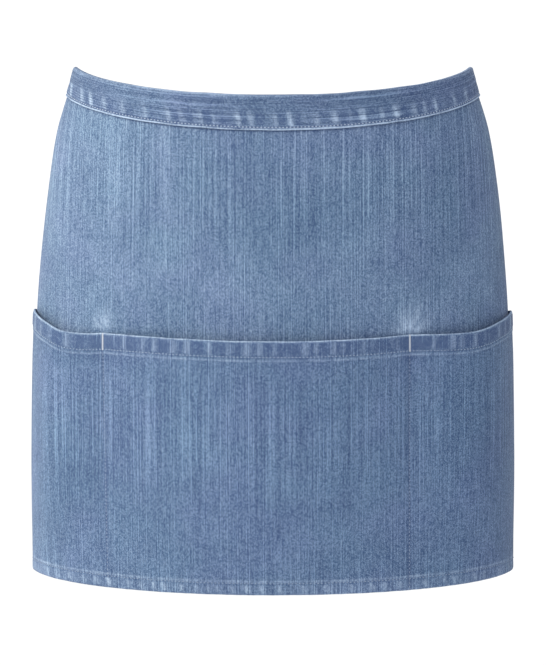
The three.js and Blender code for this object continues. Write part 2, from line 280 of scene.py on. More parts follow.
def worn(across, down, out):
    """Points of the worn apron, from places across and down the cloth and their distance out from the form."""
    across, down, out = np.broadcast_arrays(*(np.asarray(v, float) for v in (across, down, out)))
    angle = angle_at(across, down)
    half, front, back, lift = sizes_at(down)
    depth = np.where(np.abs(angle) < math.pi / 2, front, back)
    nx, ny = depth * np.sin(angle), -half * np.cos(angle)
    length = np.hypot(nx, ny)
    return np.stack(
        [
            half * np.sin(angle) + out * nx / length,
            -depth * np.cos(angle) + out * ny / length,
            -down + lift * (1 - settled(angle)),
        ],
        axis=-1,
    )


def half_ring(down):
    return np.interp(down, LEVELS, HALF_RINGS)


def pocket_at(across):
    """How far a pocket stands off and sags at places across the apron."""
    across = np.asarray(across, float)
    left = (LEFT_DIVIDER - across) / (LEFT_DIVIDER - LEFT_EDGE)
    right = (across - RIGHT_DIVIDER) / (RIGHT_EDGE - RIGHT_DIVIDER)
    middle = (across - LEFT_DIVIDER) / MIDDLE_POCKET_WIDTH

    def pick(column, sides, centre):
        return np.where(
            across <= LEFT_DIVIDER,
            sides * along(LEFT_POCKET, column, left),
            np.where(
                across >= RIGHT_DIVIDER,
                sides * along(RIGHT_POCKET, column, right),
                centre * along(MIDDLE_POCKET, column, middle),
            ),
        )

    return pick(1, SIDE_GAPE, MIDDLE_GAPE), pick(2, MOUTH_SAG, MOUTH_SAG)


# Meshes


def new_object(name, vertices, faces, uv=None, attributes=None, face_slots=None, corner_uv=None):
    """A smooth-shaded mesh from millimetres, with point attributes and a UV map named cloth.

    uv holds each point's place on the cloth, or corner_uv that of each corner of each face."""
    mesh = bpy.data.meshes.new(name)
    mesh.from_pydata((vertices * MM).tolist(), [], faces.tolist() if hasattr(faces, "tolist") else faces)
    mesh.polygons.foreach_set("use_smooth", np.ones(len(mesh.polygons), bool))
    loops = np.zeros(len(mesh.loops), np.int32)
    mesh.loops.foreach_get("vertex_index", loops)
    if corner_uv is None:
        corner_uv = uv[loops]
    layer = mesh.uv_layers.new(name="cloth")
    layer.data.foreach_set("uv", (corner_uv * MM).astype(np.float32).ravel())
    for key, values in (attributes or {}).items():
        attribute = mesh.attributes.new(key, "FLOAT", "POINT")
        attribute.data.foreach_set("value", values.astype(np.float32).ravel())
    if face_slots is not None:
        mesh.polygons.foreach_set("material_index", face_slots.astype(np.int32))
    mesh.update()
    obj = bpy.data.objects.new(name, mesh)
    bpy.context.scene.collection.objects.link(obj)
    return obj


def wall(name, front, back, cloth_v, across, marks, back_slot=None, uv=None):
    """A closed wall of cloth from its two faces, each an array of columns by stations.

    cloth_v is each station's place along the cloth, and marks are attributes of the front face. back_slot gives the
    material slot of each of the back's faces. A strap gives its own uv, and has its marks on both faces."""
    columns, stations = front.shape[:2]
    vertices = np.concatenate([front.reshape(-1, 3), back.reshape(-1, 3)])
    grid = np.arange(columns * stations).reshape(columns, stations)
    far = grid + columns * stations

    def quads(a, b, c, d):
        return np.stack([a.ravel(), b.ravel(), c.ravel(), d.ravel()], axis=1)

    parts = [
        quads(grid[:-1, :-1], grid[:-1, 1:], grid[1:, 1:], grid[1:, :-1]),
        quads(far[:-1, :-1], far[1:, :-1], far[1:, 1:], far[:-1, 1:]),
        quads(grid[:-1, 0], grid[1:, 0], far[1:, 0], far[:-1, 0]),
        quads(grid[:-1, -1], far[:-1, -1], far[1:, -1], grid[1:, -1]),
        quads(grid[0, :-1], far[0, :-1], far[0, 1:], grid[0, 1:]),
        quads(grid[-1, :-1], grid[-1, 1:], far[-1, 1:], far[-1, :-1]),
    ]
    faces = np.concatenate(parts)
    slots = np.zeros(len(faces), int)
    if back_slot is not None:
        slots[len(parts[0]) : len(parts[0]) + len(parts[1])] = back_slot.ravel()
    on_back = 0 if uv is None else 1
    if uv is None:
        u = np.broadcast_to(np.asarray(across, float)[:, None], (columns, stations))
        v = np.broadcast_to(cloth_v, (columns, stations))
        uv = np.concatenate([np.stack([u + aside, v], -1).reshape(-1, 2) for aside in (0, BACK_ASIDE)])
    attributes = {key: np.concatenate([values.ravel(), on_back * values.ravel()]) for key, values in marks.items()}
    return new_object(name, vertices, faces, uv, attributes, slots)


def faces_of(across, path_v, path_out, half_cloth):
    """The two faces of a wall whose middle follows a path in the plane of down and out."""
    dv = np.gradient(path_v, axis=1)
    do = np.gradient(path_out, axis=1)
    length = np.maximum(np.hypot(dv, do), 1e-9)
    nv, no = -do / length, dv / length
    u = np.asarray(across, float)[:, None]
    front = worn(u, path_v + nv * half_cloth, path_out + no * half_cloth)
    back = worn(u, path_v - nv * half_cloth, path_out - no * half_cloth)
    return front, back


def path_length(path_v, path_out):
    """The length along a path from its first station, on the path's middle column."""
    middle = path_v.shape[0] // 2
    steps = np.hypot(np.diff(path_v[middle]), np.diff(path_out[middle]))
    return np.concatenate([[0], np.cumsum(steps)])


def ended(distance, half_cloth):
    """A wall's half thickness near a rounded edge."""
    t = np.clip(distance / half_cloth, 0, 1)
    return half_cloth * np.sqrt(np.maximum(1 - (1 - t) ** 2, 0.02))


def columns_between(low, high, step, fine=()):
    """Places across the cloth, with finer ones near the edges and at the given places."""
    places = list(np.linspace(low, high, int(round((high - low) / step)) + 1))
    for edge, sign in ((low, 1), (high, -1)):
        places += [edge + sign * d for d in (0.12, 0.35, 0.8)]
    for start, end in fine:
        places += list(np.arange(start - 2.4, end + 2.5, 0.55))
    places = np.unique(np.round(places, 3))
    keep = [places[0]]
    for place in places[1:]:
        if place - keep[-1] > 0.1:
            keep.append(place)
    return np.array(keep)


# Seams: the crinkles that washing leaves along a stitched hem


def roping(seed, across, slant=0.0, spacing=12.0, width=2.6):
    """Ridges up to 1 high and hollows down to -1 between them, at uneven places, that lean by slant."""
    rng = np.random.default_rng(seed)
    count = int((APRON_WIDTH + 60) / (0.7 * spacing))
    places = LEFT_EDGE - 20 + np.cumsum(rng.uniform(0.45, 1.55, count) * spacing)
    widths = width * rng.uniform(0.6, 1.5, count)
    heights = rng.uniform(0.35, 1.0, count)
    gaps = places + spacing * rng.uniform(0.3, 0.6, count)
    depths = rng.uniform(0.2, 0.9, count)
    u = across + slant
    total = 0.15 * noise(seed, u / 3.0, 2.5)
    for place, wide, high, gap, deep in zip(places, widths, heights, gaps, depths):
        total = total + high * hump(u, place, wide) - deep * np.exp(-(((u - gap) / (1.5 * wide)) ** 4))
    return np.clip(total, -1, 1)


TACKS = (LEFT_DIVIDER, RIGHT_DIVIDER)
LEANS = (LEFT_DIVIDER_LEAN, 0.0)


def divider_at(number, below_mouth):
    """Where a row of dividing stitches lies at distances below the mouth."""
    return TACKS[number] + LEANS[number] * np.maximum(below_mouth - MOUTH_HEM, 0) / (POCKET_DEPTH - MOUTH_HEM)


def divider_distance(across, below_mouth):
    return np.minimum(*(np.abs(across - divider_at(i, below_mouth)) for i in (0, 1)))


def puckers(across, down):
    """The star of small creases that each bar tack pulls in the panel above it."""
    total = np.zeros(np.broadcast(across, down).shape)
    for i, (tack, lean, size) in enumerate(((LEFT_DIVIDER, -0.15, 9.0), (RIGHT_DIVIDER, 0.3, 13.0))):
        rise = (MOUTH - 1.5) - down
        side = across - tack - lean * rise
        distance = np.hypot(side, rise * 0.8)
        turn = np.arctan2(side, rise + 1.5)
        rays = 0.5 + 0.5 * noise(4 + i, turn * 3.4, 0.3)
        total = total + np.exp(-((distance / size) ** 2)) * rays * smoothstep(rise, -4, 3)
    return total


def panel_relief(across, down):
    """The panel's own unevenness: soft waves, the pull below the waistband and the creases above the tacks."""
    soft = 0.35 * noise(6, across / 46, down / 90) + 0.16 * noise(7, across / 21, down / 55)
    below_band = 0.3 * roping(8, across, 0.2 * (down - WAISTBAND_HEIGHT))
    below_band = below_band * np.exp(-np.maximum(down - WAISTBAND_HEIGHT, 0) / 7.0)
    return soft + below_band + 0.7 * puckers(across, down)


# The pieces of cloth


def build_panel():
    u = columns_between(LEFT_EDGE, RIGHT_EDGE, 2.5)
    v = np.concatenate(
        [
            [PANEL_TOP, PANEL_TOP + 0.5, PANEL_TOP + 2.5],
            np.arange(WAISTBAND_HEIGHT - 1.5, WAISTBAND_HEIGHT + 12, 1.25),
            np.arange(WAISTBAND_HEIGHT + 13.5, MOUTH - 26, 2.7),
            np.arange(MOUTH - 24, MOUTH + 8, 1.7),
            np.arange(MOUTH + 11, FOOT_HEM_TOP - 2, 3.6),
            [FOOT_HEM_TOP - 0.4, FOOT_HEM_TOP + 1.5, PANEL_FOOT - 3, PANEL_FOOT - 0.6, PANEL_FOOT - 0.2, PANEL_FOOT],
        ]
    )
    across, down = np.meshgrid(u, v, indexing="ij")
    free = smoothstep(down, WAISTBAND_HEIGHT - 1, WAISTBAND_HEIGHT + 3) * (
        1 - smoothstep(down, MOUTH + 2, MOUTH + 18)
    )
    edge = np.minimum(across - LEFT_EDGE, RIGHT_EDGE - across)
    relief = panel_relief(across, down) * free * smoothstep(edge, 2, 20)
    half = ended(np.minimum(np.minimum(down - PANEL_TOP, PANEL_FOOT - down), edge), CLOTH / 2)
    turned = (
        SIDE_HEM_TURNS
        * (1 - smoothstep(edge, SIDE_HEM - 0.9, SIDE_HEM + 0.1))
        * smoothstep(edge, -0.1, 0.5)
        * smoothstep(down, WAISTBAND_HEIGHT + 0.3, WAISTBAND_HEIGHT + 1.8)
        * (1 - smoothstep(down, FOOT_HEM_TOP - 1.8, FOOT_HEM_TOP - 0.3))
    )
    pinch = 0.14 * hump(edge, SIDE_STITCH_LINE, 0.8) * free
    front = worn(across, down, CLOTH / 2 + half + relief - pinch)
    back = worn(across, down, CLOTH / 2 - half + relief - turned + 2 * pinch)
    star = puckers(across, down)
    rope = roping(8, across, 0.2 * (down - WAISTBAND_HEIGHT))
    near_band = np.exp(-np.maximum(down - WAISTBAND_HEIGHT, 0) / 6.0)
    wear = 1.1 * star + 0.25 * np.maximum(rope, 0) * near_band * free
    wear = wear + 0.5 * (1 - smoothstep(edge, 0.3, 1.6)) + 0.25 * hump(edge, SIDE_HEM, 1.2)
    # Painted shade: the dark mark darkens the hollows between the crinkles below the waistband and the groove along
    # the side stitch rows, and paints the waistband's shadow as a line just under its lower edge
    dark = 0.4 * np.maximum(-rope, 0) * near_band + 0.5 * hump(edge, SIDE_STITCH_LINE, 0.9)
    dark = dark + 1.0 * hump(down, WAISTBAND_HEIGHT + 0.3, 0.9)
    # The hems at the sides are turned over, so they show the cloth's outer face on the inside too
    inside = (edge[:-1, :-1] > SIDE_HEM - 0.5).astype(int)
    return wall("apron_panel_cloth", front, back, v, u, {"wear": wear, "dark": dark}, inside)


def build_band():
    u = columns_between(LEFT_EDGE, RIGHT_EDGE, 1.6)
    middle = CLOTH / 2
    stand = BAND_CAVITY / 2 + CLOTH / 2
    leaf = np.concatenate([np.arange(2.2, 23, 1.3), np.arange(23.4, 27.2, 0.42)])
    leaf = np.concatenate([leaf, [27.35, 27.6, 27.8, 27.93, 28.0]])
    turn = np.linspace(-math.pi / 2, math.pi / 2, 9)
    inner = leaf[::-1]
    path_v = np.concatenate([inner, stand * (1 - np.cos(turn)) + CLOTH / 2, leaf])
    path_out = np.concatenate(
        [np.full(len(inner), middle - stand), middle + stand * np.sin(turn), np.full(len(leaf), middle + stand)]
    )
    outer = np.concatenate([np.zeros(len(inner)), smoothstep(turn, -0.4, 1.2), np.ones(len(leaf))])
    across, v = np.meshgrid(u, path_v, indexing="ij")
    out = np.broadcast_to(path_out, v.shape).copy()
    outer = np.broadcast_to(outer, v.shape)
    edge = np.minimum(across - LEFT_EDGE, RIGHT_EDGE - across)
    from_foot = WAISTBAND_HEIGHT - v
    rope = roping(10, across, 0.2 * from_foot, 14.0, 2.3)
    rope_zone = smoothstep(from_foot, 2.4, 4.5) * (1 - smoothstep(from_foot, 9, 17))
    fine_rope = roping(12, across, -0.3 * from_foot, 9.0, 2.0)
    held = smoothstep(edge, 0, 6)
    puff = 0.34 * rope * rope_zone + 0.12 * fine_rope * smoothstep(from_foot, 12, 16) * smoothstep(v, 1, 5)
    pinch = 0.38 * hump(from_foot, BAND_STITCH_LINE, 0.8)
    roll = 0.22 * hump(from_foot, 0.75, 0.75)
    out = out + np.where(outer > 0.5, 1, -1) * held * (puff - pinch + roll) * np.where(outer > 0.5, 1, 0.35)
    top_wave = 0.28 * noise(13, across / 17) * smoothstep(from_foot, 18, 26)
    foot_wave = 0.16 * noise(14, across / 9) * (1 - smoothstep(from_foot, 0, 4))
    v = v + held * (top_wave + foot_wave)
    half = ended(np.minimum(edge, from_foot + 0.02), CLOTH / 2)
    front, back = faces_of(u, v, out, half)
    flat = path_length(v, out)
    worn_rope = np.clip(rope, 0, 1) * rope_zone
    wear = 0.78 * worn_rope + 1.0 * hump(from_foot, 0.5, 0.6) + 0.22 * hump(v, 1.0, 1.2)
    wear = wear + 0.45 * (1 - smoothstep(edge, 0.3, 1.4))
    # Painted shade: the dark mark darkens the hollows between the crinkles and the pits along the row of stitches
    dark = 1.2 * np.clip(-rope, 0, 1) * rope_zone + 1.2 * hump(from_foot, BAND_STITCH_LINE + 0.1, 1.05)
    outer_face = (outer > 0.3).astype(float)
    marks = {"wear": wear * (0.35 + 0.65 * outer_face), "dark": dark * (0.35 + 0.65 * outer_face)}
    inside = np.ones((len(u) - 1, len(flat) - 1), int)
    return wall("waistband_cloth", front, back, flat + 700, u, marks, inside)


def build_pocket():
    u = columns_between(LEFT_EDGE, RIGHT_EDGE, 2.3, fine=[(t, t + lean) for t, lean in zip(TACKS, LEANS)])
    hem = MOUTH_HEM
    from_mouth = np.concatenate(
        [
            [0.0, 0.06, 0.2, 0.42, 0.7, 1.0, 1.4, 2.0, 2.8],
            np.arange(3.8, 11.4, 1.1),
            np.arange(11.6, hem + 3.4, 0.5),
            np.arange(hem + 4.5, hem + 12, 1.6),
            np.arange(hem + 14, POCKET_DEPTH - FOOT_HEM - 5, 2.9),
            np.arange(POCKET_DEPTH - FOOT_HEM - 3.5, POCKET_DEPTH - 1.6, 0.9),
        ]
    )
    fall = len(from_mouth)
    turn = np.linspace(0, math.pi, 11)
    # The foot turns under the panel on a half circle that is flattened into the room between the two leaves
    seat = SEAT + CLOTH / 2
    behind = -LAYER_GAP - CLOTH / 2
    radius = (seat - behind) / 2
    leaf_end = [FOOT_HEM - 1.3, FOOT_HEM - 0.9, FOOT_HEM - 0.55, FOOT_HEM - 0.5]
    leaf = np.concatenate([np.arange(1.2, FOOT_HEM - 1.5, 0.9), leaf_end])
    foot_v = APRON_LENGTH - CLOTH / 2 - 0.9 * (1 - np.sin(turn))
    across, d = np.meshgrid(u, from_mouth, indexing="ij")
    stand, sag = pocket_at(u)
    stand, sag = stand[:, None], sag[:, None]
    share = d / POCKET_DEPTH
    in_hem = 1 - smoothstep(d, hem - 0.4, hem + 1.1)
    thick = (CLOTH + (MOUTH_HEM_FRONT + MOUTH_HEM_BACK) * in_hem) / 2
    back_face = SEAT + stand * (1 - share**3)
    back_face = back_face + MOUTH_HEM_BACK * (1 - in_hem) * np.maximum(0, 1 - share * 2)
    v = MOUTH + d + sag * (1 - smoothstep(d, hem, hem + 26))
    out = back_face + thick
    edge = np.minimum(across - LEFT_EDGE, RIGHT_EDGE - across)
    near = divider_distance(across, d)
    free = smoothstep(edge, 1, 12)
    rope = roping(15, across, 0.1 * d, 11.0, 2.2)
    rope = rope * smoothstep(near, 6, 14)
    rope_zone = smoothstep(d, 1.0, 2.6) * (1 - smoothstep(d, MOUTH_STITCH_LINE - 2.2, MOUTH_STITCH_LINE - 0.4))
    hem_dip = 1 - np.exp(-((near / 5.5) ** 2))
    puff = 0.36 * rope * rope_zone * hem_dip + 0.28 * rope_zone * hem_dip
    puff = puff - 0.3 * hump(d, MOUTH_STITCH_LINE, 0.8) + 0.12 * hump(d, hem + 0.4, 1.0)
    drawn = 0.35 * roping(17, across, 0.15 * d) * np.exp(-np.maximum(d - MOUTH_STITCH_LINE, 0) / 9.0)
    drawn = drawn * smoothstep(d, MOUTH_STITCH_LINE, MOUTH_STITCH_LINE + 3)
    soft = 0.4 * noise(18, across / 44, d / 90) + 0.16 * noise(19, across / 19, d / 60)
    foot = POCKET_DEPTH - d
    foot_rope = roping(20, across, 0.3 * foot, 10.0, 2.2)
    foot_zone = smoothstep(foot, 0.5, 3) * (1 - smoothstep(foot, FOOT_STITCH_LINE - 2.5, FOOT_STITCH_LINE - 0.5))
    soft = soft * smoothstep(d, hem, hem + 25) * smoothstep(foot, 3, 30)
    divider = np.exp(-((near / 1.15) ** 2)) * smoothstep(d, hem - 2, hem + 3)
    shoulder = 0.3 * (1 - np.exp(-((near / 3.2) ** 2))) * np.exp(-((near / 9.0) ** 2)) * smoothstep(d, hem, hem + 10)
    lift = puff + drawn + soft + shoulder + 0.3 * foot_rope * foot_zone - 0.16 * hump(foot, FOOT_STITCH_LINE, 0.9)
    lift = lift * free - 0.14 * hump(edge, SIDE_STITCH_LINE, 0.8) + 0.05
    out = out + np.maximum(lift, -0.2) - 0.12 * divider
    v = v + free * 0.16 * noise(21, across / 11) * (1 - smoothstep(d, 0, 5))

    foot_across, angle = np.meshgrid(u, turn, indexing="ij")
    foot_path_v = np.broadcast_to(foot_v, foot_across.shape).copy()
    foot_edge = np.minimum(foot_across - LEFT_EDGE, RIGHT_EDGE - foot_across)
    foot_wave = 0.18 * noise(22, foot_across / 8) * smoothstep(foot_edge, 1, 8)
    foot_path_v = foot_path_v - 0.1 - np.abs(foot_wave) * np.sin(angle)
    foot_out = (seat + behind) / 2 + radius * np.cos(angle)
    leaf_across, climb = np.meshgrid(u, leaf, indexing="ij")
    leaf_v = APRON_LENGTH - climb
    leaf_out = np.full_like(leaf_v, behind)
    path_v = np.concatenate([v, foot_path_v, leaf_v], axis=1)
    path_out = np.concatenate([out, foot_out, leaf_out], axis=1)
    front_half = np.minimum(thick, ended(d + 0.02, 1.0))
    leaf_half = ended(FOOT_HEM - 0.45 - climb, CLOTH / 2)
    half = np.concatenate([front_half, np.full_like(foot_out, CLOTH / 2), leaf_half], axis=1)
    all_edge = np.minimum(u - LEFT_EDGE, RIGHT_EDGE - u)[:, None]
    half = np.minimum(half, ended(all_edge, 1.0))
    front, back = faces_of(u, path_v, path_out, half)

    rest = path_v.shape[1] - fall
    zero = np.zeros((len(u), rest))
    patches = np.clip(rope, 0, 1) * rope_zone
    hollows = np.clip(-rope + 0.1, 0, 1) * rope_zone
    beside_tack = np.exp(-(((near - 5.6) / 4.6) ** 6)) * rope_zone
    uneven = 0.75 + 0.5 * noise(3, across / 7.0, 1.5)
    wear = 0.85 * uneven * hump(d, 0.45, 0.62) + 0.4 * patches * (1 - beside_tack)
    wear = wear + 0.36 * uneven * hump(d, hem + 0.9, 0.7)
    wear = wear + (0.08 + 0.5 * np.clip(foot_rope, 0, 1)) * foot_zone + 0.4 * uneven * hump(foot, FOOT_HEM + 0.4, 0.8)
    wear = wear + 0.4 * (1 - smoothstep(edge, 0.3, 1.6))
    # Painted shade: the dark mark darkens the hollows between the crinkles, the pulled-in cloth beside the bar tacks,
    # the grooves of the stitch rows and the dividing rows, the cloth round the dividing rows just below the hem and
    # the foot's lower edge where it turns under, and paints a line of shadow just under the mouth hem's edge. The hem
    # strip is also darker over its whole height
    dark = 0.8 * hollows + 0.95 * beside_tack + 0.7 * hump(d, MOUTH_STITCH_LINE, 0.9) + 1.0 * divider
    dark = dark + 0.74 * rope_zone + 0.5 * hump(foot, 0.1, 0.8)
    dark = dark + 0.45 * np.clip(-foot_rope, 0, 1) * foot_zone + 0.25 * hump(foot, FOOT_STITCH_LINE, 0.9)
    dark = dark + 0.3 * np.exp(-(((d - hem - 2.6) / 1.6) ** 2)) + 0.4 * hump(edge, SIDE_STITCH_LINE, 0.9)
    dark = dark + 0.75 * np.exp(-((near / 9.0) ** 2)) * hump(d, hem + 3.5, 4.5)
    marks = {
        "wear": np.concatenate([wear, zero + 0.12], axis=1),
        "dark": np.concatenate([dark, zero + 0.25], axis=1),
    }
    flat = path_length(path_v, path_out)
    inside = np.ones((len(u) - 1, len(flat) - 1), int)
    inside[:, : int(np.searchsorted(from_mouth, hem))] = 0
    return wall("pocket_panel_cloth", front, back, flat + 1500, u, marks, inside)


def strap(name, centre, width_way, half_width, half_cloth, flat, pleats=0.0, seed=0, rings=14):
    """A closed strip with rounded edges that follows points, with its width along width_way at each of them."""
    tangent = np.gradient(centre, axis=0)
    tangent /= np.linalg.norm(tangent, axis=1)[:, None]
    width_way = width_way - (width_way * tangent).sum(1)[:, None] * tangent
    width_way /= np.linalg.norm(width_way, axis=1)[:, None]
    normal = np.cross(tangent, width_way)
    n = len(centre)
    side = np.linspace(-1, 1, rings)
    side = np.sign(side) * (1 - (1 - np.abs(side)) ** 1.6)
    bulge = np.sqrt(np.maximum(1 - np.abs(side) ** 8, 0.0))
    half_width = np.broadcast_to(half_width, (n,))[:, None]
    half_cloth = np.broadcast_to(half_cloth, (n,))[:, None]
    place = np.concatenate([[0], np.cumsum(np.linalg.norm(np.diff(centre, axis=0), axis=1))])[:, None]
    folded = np.broadcast_to(pleats, (n,))[:, None]
    crease = folded * (
        np.cos(side[None, :] * math.pi * 3.2 + 0.6 * np.sin(place / 9.0)) * 0.6
        + 0.5 * noise(seed, side[None, :] * 3.1, place / 11.0)
    )
    soft = 0.3 * noise((seed + 1) % 24, place / 14.0, side[None, :] * 1.1)
    faces = []
    for way in (1, -1):
        lift = way * half_cloth * bulge + crease * bulge + soft
        across = (half_width * side)[..., None] * width_way[:, None, :]
        faces.append(centre[:, None, :] + across + lift[..., None] * normal[:, None, :])
    front, back = faces
    edge = (1 - np.abs(side))[None, :] * half_width
    wear = 0.5 * (1 - smoothstep(edge, 0.2, 1.3)) + 0.3 * np.clip(crease, 0, 1)
    # Painted shade: the dark mark darkens the grooves of the edge stitch rows and the hollows of the creases; the
    # small even amount darkens the whole tie
    dark = 0.45 * hump(edge, EDGE_STITCH_LINE + 0.2, 0.6) + 0.5 * np.clip(-crease, 0, 1) + 0.15
    columns, stations = front.shape[:2]
    uv = np.stack([half_width * side[None, :], np.broadcast_to(place, (columns, stations))], -1).reshape(-1, 2)
    uv = np.concatenate([uv, uv + 90]) + flat
    obj = wall(name, front, back, None, None, {"wear": wear, "dark": dark}, uv=uv)
    runs = []
    for face, way in ((front, 1), (back, -1)):
        for edge_way in (-1, 1):
            share = edge_way * (1 - EDGE_STITCH_LINE / half_width[:, 0])
            spot = np.interp(share, side, np.arange(rings))
            low = np.clip(np.floor(spot).astype(int), 0, rings - 2)
            part = (spot - low)[:, None]
            rows = np.arange(n)
            points = face[rows, low] * (1 - part) + face[rows, low + 1] * part
            runs.append((points, way * normal))
    return obj, runs


HALF_WAIST = float(half_ring(TIE_LEVEL))
TIE_BACK = float(sizes_at(TIE_LEVEL)[2])
KNOT_CENTRE = np.array([0.0, TIE_BACK + CLOTH / 2, -TIE_LEVEL])


def tie_centre(side, place):
    """The tie's middle at places round from the front centre, as far as the knot."""
    return worn(side * place, TIE_LEVEL, CLOTH / 2)


def build_tie(name, side):
    edge = -LEFT_EDGE if side < 0 else RIGHT_EDGE
    end = HALF_WAIST - KNOT_WIDTH / 2 + 4
    place = np.linspace(edge - SIDE_HEM, end, 110)
    visible = int(np.searchsorted(place, edge + 1))
    top = worn(side * place, TIE_LEVEL - 4, CLOTH / 2)
    foot = worn(side * place, TIE_LEVEL + 4, CLOTH / 2)
    gathered = smoothstep(place, end - GATHER_LENGTH, end)
    half_width = (TIE_WIDTH * (1 - gathered) + GATHERED_WIDTH * gathered) / 2
    half_cloth = (TIE_CLOTH * (1 - gathered) + 0.62 * GATHERED_CLOTH * gathered) / 2
    half_cloth = half_cloth * smoothstep(place, edge - SIDE_HEM - 1, edge - SIDE_HEM + 1)
    loose = smoothstep(place, edge + 2, edge + 14)
    centre = tie_centre(side, place)
    pleats = 0.85 * gathered * loose
    obj, runs = strap(name, centre, (top - foot) * side, half_width, half_cloth, 2100 + 200 * side, pleats, 2 + side)
    return obj, [(points[visible:-4], normals[visible:-4]) for points, normals in runs]


def build_tie_end(name, side):
    t = np.linspace(-0.035, 1, 130)
    share = np.maximum(t, 0)
    lean = math.radians(TIE_END_LEAN) * side
    top = KNOT_CENTRE + np.array([side * (GATHERED_WIDTH / 2 + LAYER_GAP), 0, -KNOT_HEIGHT / 2 - LAYER_GAP])
    centre = top + np.stack(
        [
            math.sin(lean) * t * TIE_END_LENGTH,
            TIE_END_SWAY * np.sin(1.5 * math.pi * share),
            -math.cos(lean) * t * TIE_END_LENGTH,
        ],
        axis=1,
    )
    turn = side * math.radians(TIE_END_TURN) * np.sin(math.pi * share)
    width_way = np.stack([np.cos(turn), np.sin(turn), 0 * turn], axis=1)
    spread = smoothstep(share * TIE_END_LENGTH, 0, GATHER_LENGTH)
    half_width = (GATHERED_WIDTH * (1 - spread) + TIE_WIDTH * spread) / 2
    half_cloth = (0.62 * GATHERED_CLOTH * (1 - spread) + TIE_CLOTH * spread) / 2
    half_cloth = half_cloth * np.minimum(1, 0.35 + (1 - share) * TIE_END_LENGTH / 0.9)
    pleats = 0.85 * (1 - spread)
    obj, runs = strap(name, centre, width_way, half_width, half_cloth, 2700 + 200 * side, pleats, 9 + side)
    last = int(np.searchsorted(t, 1 - EDGE_STITCH_LINE / TIE_END_LENGTH))
    across_end = []
    for left, right in (runs[0:2], runs[2:4]):
        share = np.linspace(0, 1, 12)[:, None]
        row = left[0][last] * (1 - share) + right[0][last] * share
        across_end.append((row, np.tile(left[1][last], (12, 1))))
    return obj, [(points[8:last], normals[8:last]) for points, normals in runs] + across_end


def gathered_cloth(name, centre, width_way, wide, deep, flat, folds, closed=False, around=28):
    """A rounded bundle of cloth that follows points, with folds that run along it."""
    n = len(centre)
    if closed:
        tangent = np.roll(centre, -1, axis=0) - np.roll(centre, 1, axis=0)
    else:
        tangent = np.gradient(centre, axis=0)
    tangent /= np.linalg.norm(tangent, axis=1)[:, None]
    width_way = width_way - (width_way * tangent).sum(1)[:, None] * tangent
    width_way /= np.linalg.norm(width_way, axis=1)[:, None]
    normal = np.cross(tangent, width_way)
    angle = np.arange(around) * 2 * math.pi / around
    q = np.cos(angle)[None, :]
    wide, deep = (np.broadcast_to(value, (n,))[:, None] for value in (wide, deep))
    turn = np.linspace(0, 2 * math.pi, n, endpoint=not closed)[:, None]
    fold = 0.24 * np.cos(math.pi * folds * q + 0.7 * np.sin(turn)) + 0.12 * np.cos(math.pi * (folds + 1.7) * q + 2.0)
    side = wide * np.sign(q) * np.abs(q) ** 0.8
    lift = deep * np.sin(angle)[None, :] * (1 + fold)
    points = centre[:, None, :] + side[..., None] * width_way[:, None, :] + lift[..., None] * normal[:, None, :]
    steps = np.linalg.norm(np.diff(np.concatenate([centre, centre[:1]]), axis=0), axis=1)
    place = np.concatenate([[0], np.cumsum(steps)])
    ring = points[n // 2]
    girth = np.concatenate([[0], np.cumsum(np.linalg.norm(np.roll(ring, -1, axis=0) - ring, axis=1))])
    faces, corners = [], []
    for k in range(n if closed else n - 1):
        far = (k + 1) % n
        for i in range(around):
            j = (i + 1) % around
            faces.append((k * around + i, far * around + i, far * around + j, k * around + j))
            corners += [
                (girth[i], place[k]),
                (girth[i], place[k + 1]),
                (girth[i + 1], place[k + 1]),
                (girth[i + 1], place[k]),
            ]
    if not closed:
        faces.append(tuple(range(around)))
        faces.append(tuple(reversed(range((n - 1) * around, n * around))))
        corners += [(girth[i], place[0]) for i in range(around)]
        corners += [(girth[i], place[n - 1]) for i in reversed(range(around))]
    wear = 0.55 * np.clip(fold / 0.3, 0, 1) + 0.6 * smoothstep(np.abs(q), 0.93, 1.0)
    # Painted shade: darker in the hollows between the folds
    dark = 0.7 * np.clip(-fold / 0.3, 0, 1)
    return new_object(
        name,
        points.reshape(-1, 3),
        faces,
        attributes={"wear": wear, "dark": dark},
        corner_uv=np.array(corners) + flat,
    )


def build_knot():
    """The knot: one tie's turn over the other, and the two ties' bundles where they go in under it."""
    t = np.arange(84) * 2 * math.pi / 84
    lean = 0.34
    turn = np.stack([lean * 8.6 * np.sin(t), -5.6 * np.cos(t) + 0.4, 9.3 * np.sin(t)], axis=1)
    across = np.tile(np.array([1.0, 0.0, -lean]), (len(t), 1))
    wide = 6.3 - 0.9 * np.cos(2 * t)
    parts = [gathered_cloth("tie_knot_turn", KNOT_CENTRE + turn, across, wide, 1.9, 3300, 2.6, closed=True)]
    for side in (-1, 1):
        s = np.linspace(0, 1, 34)
        back = 0.3 - 2.2 * s + 2.6 * np.sin(math.pi * s)
        bundle = np.stack([side * (13.4 - 11.5 * s), back, 1.6 * side * s], axis=1)
        upright = np.tile(np.array([0.12 * side, 0.0, 1.0]), (len(s), 1))
        wide = 4.9 + 2.9 * np.sin(math.pi * np.minimum(s * 1.15, 1)) ** 1.5
        name = "tie_knot_left" if side < 0 else "tie_knot_right"
        parts.append(gathered_cloth(name, KNOT_CENTRE + bundle, upright, wide, 2.2 + 1.9 * s, 3600 + 200 * side, 3.1))
    return parts


# Stitches


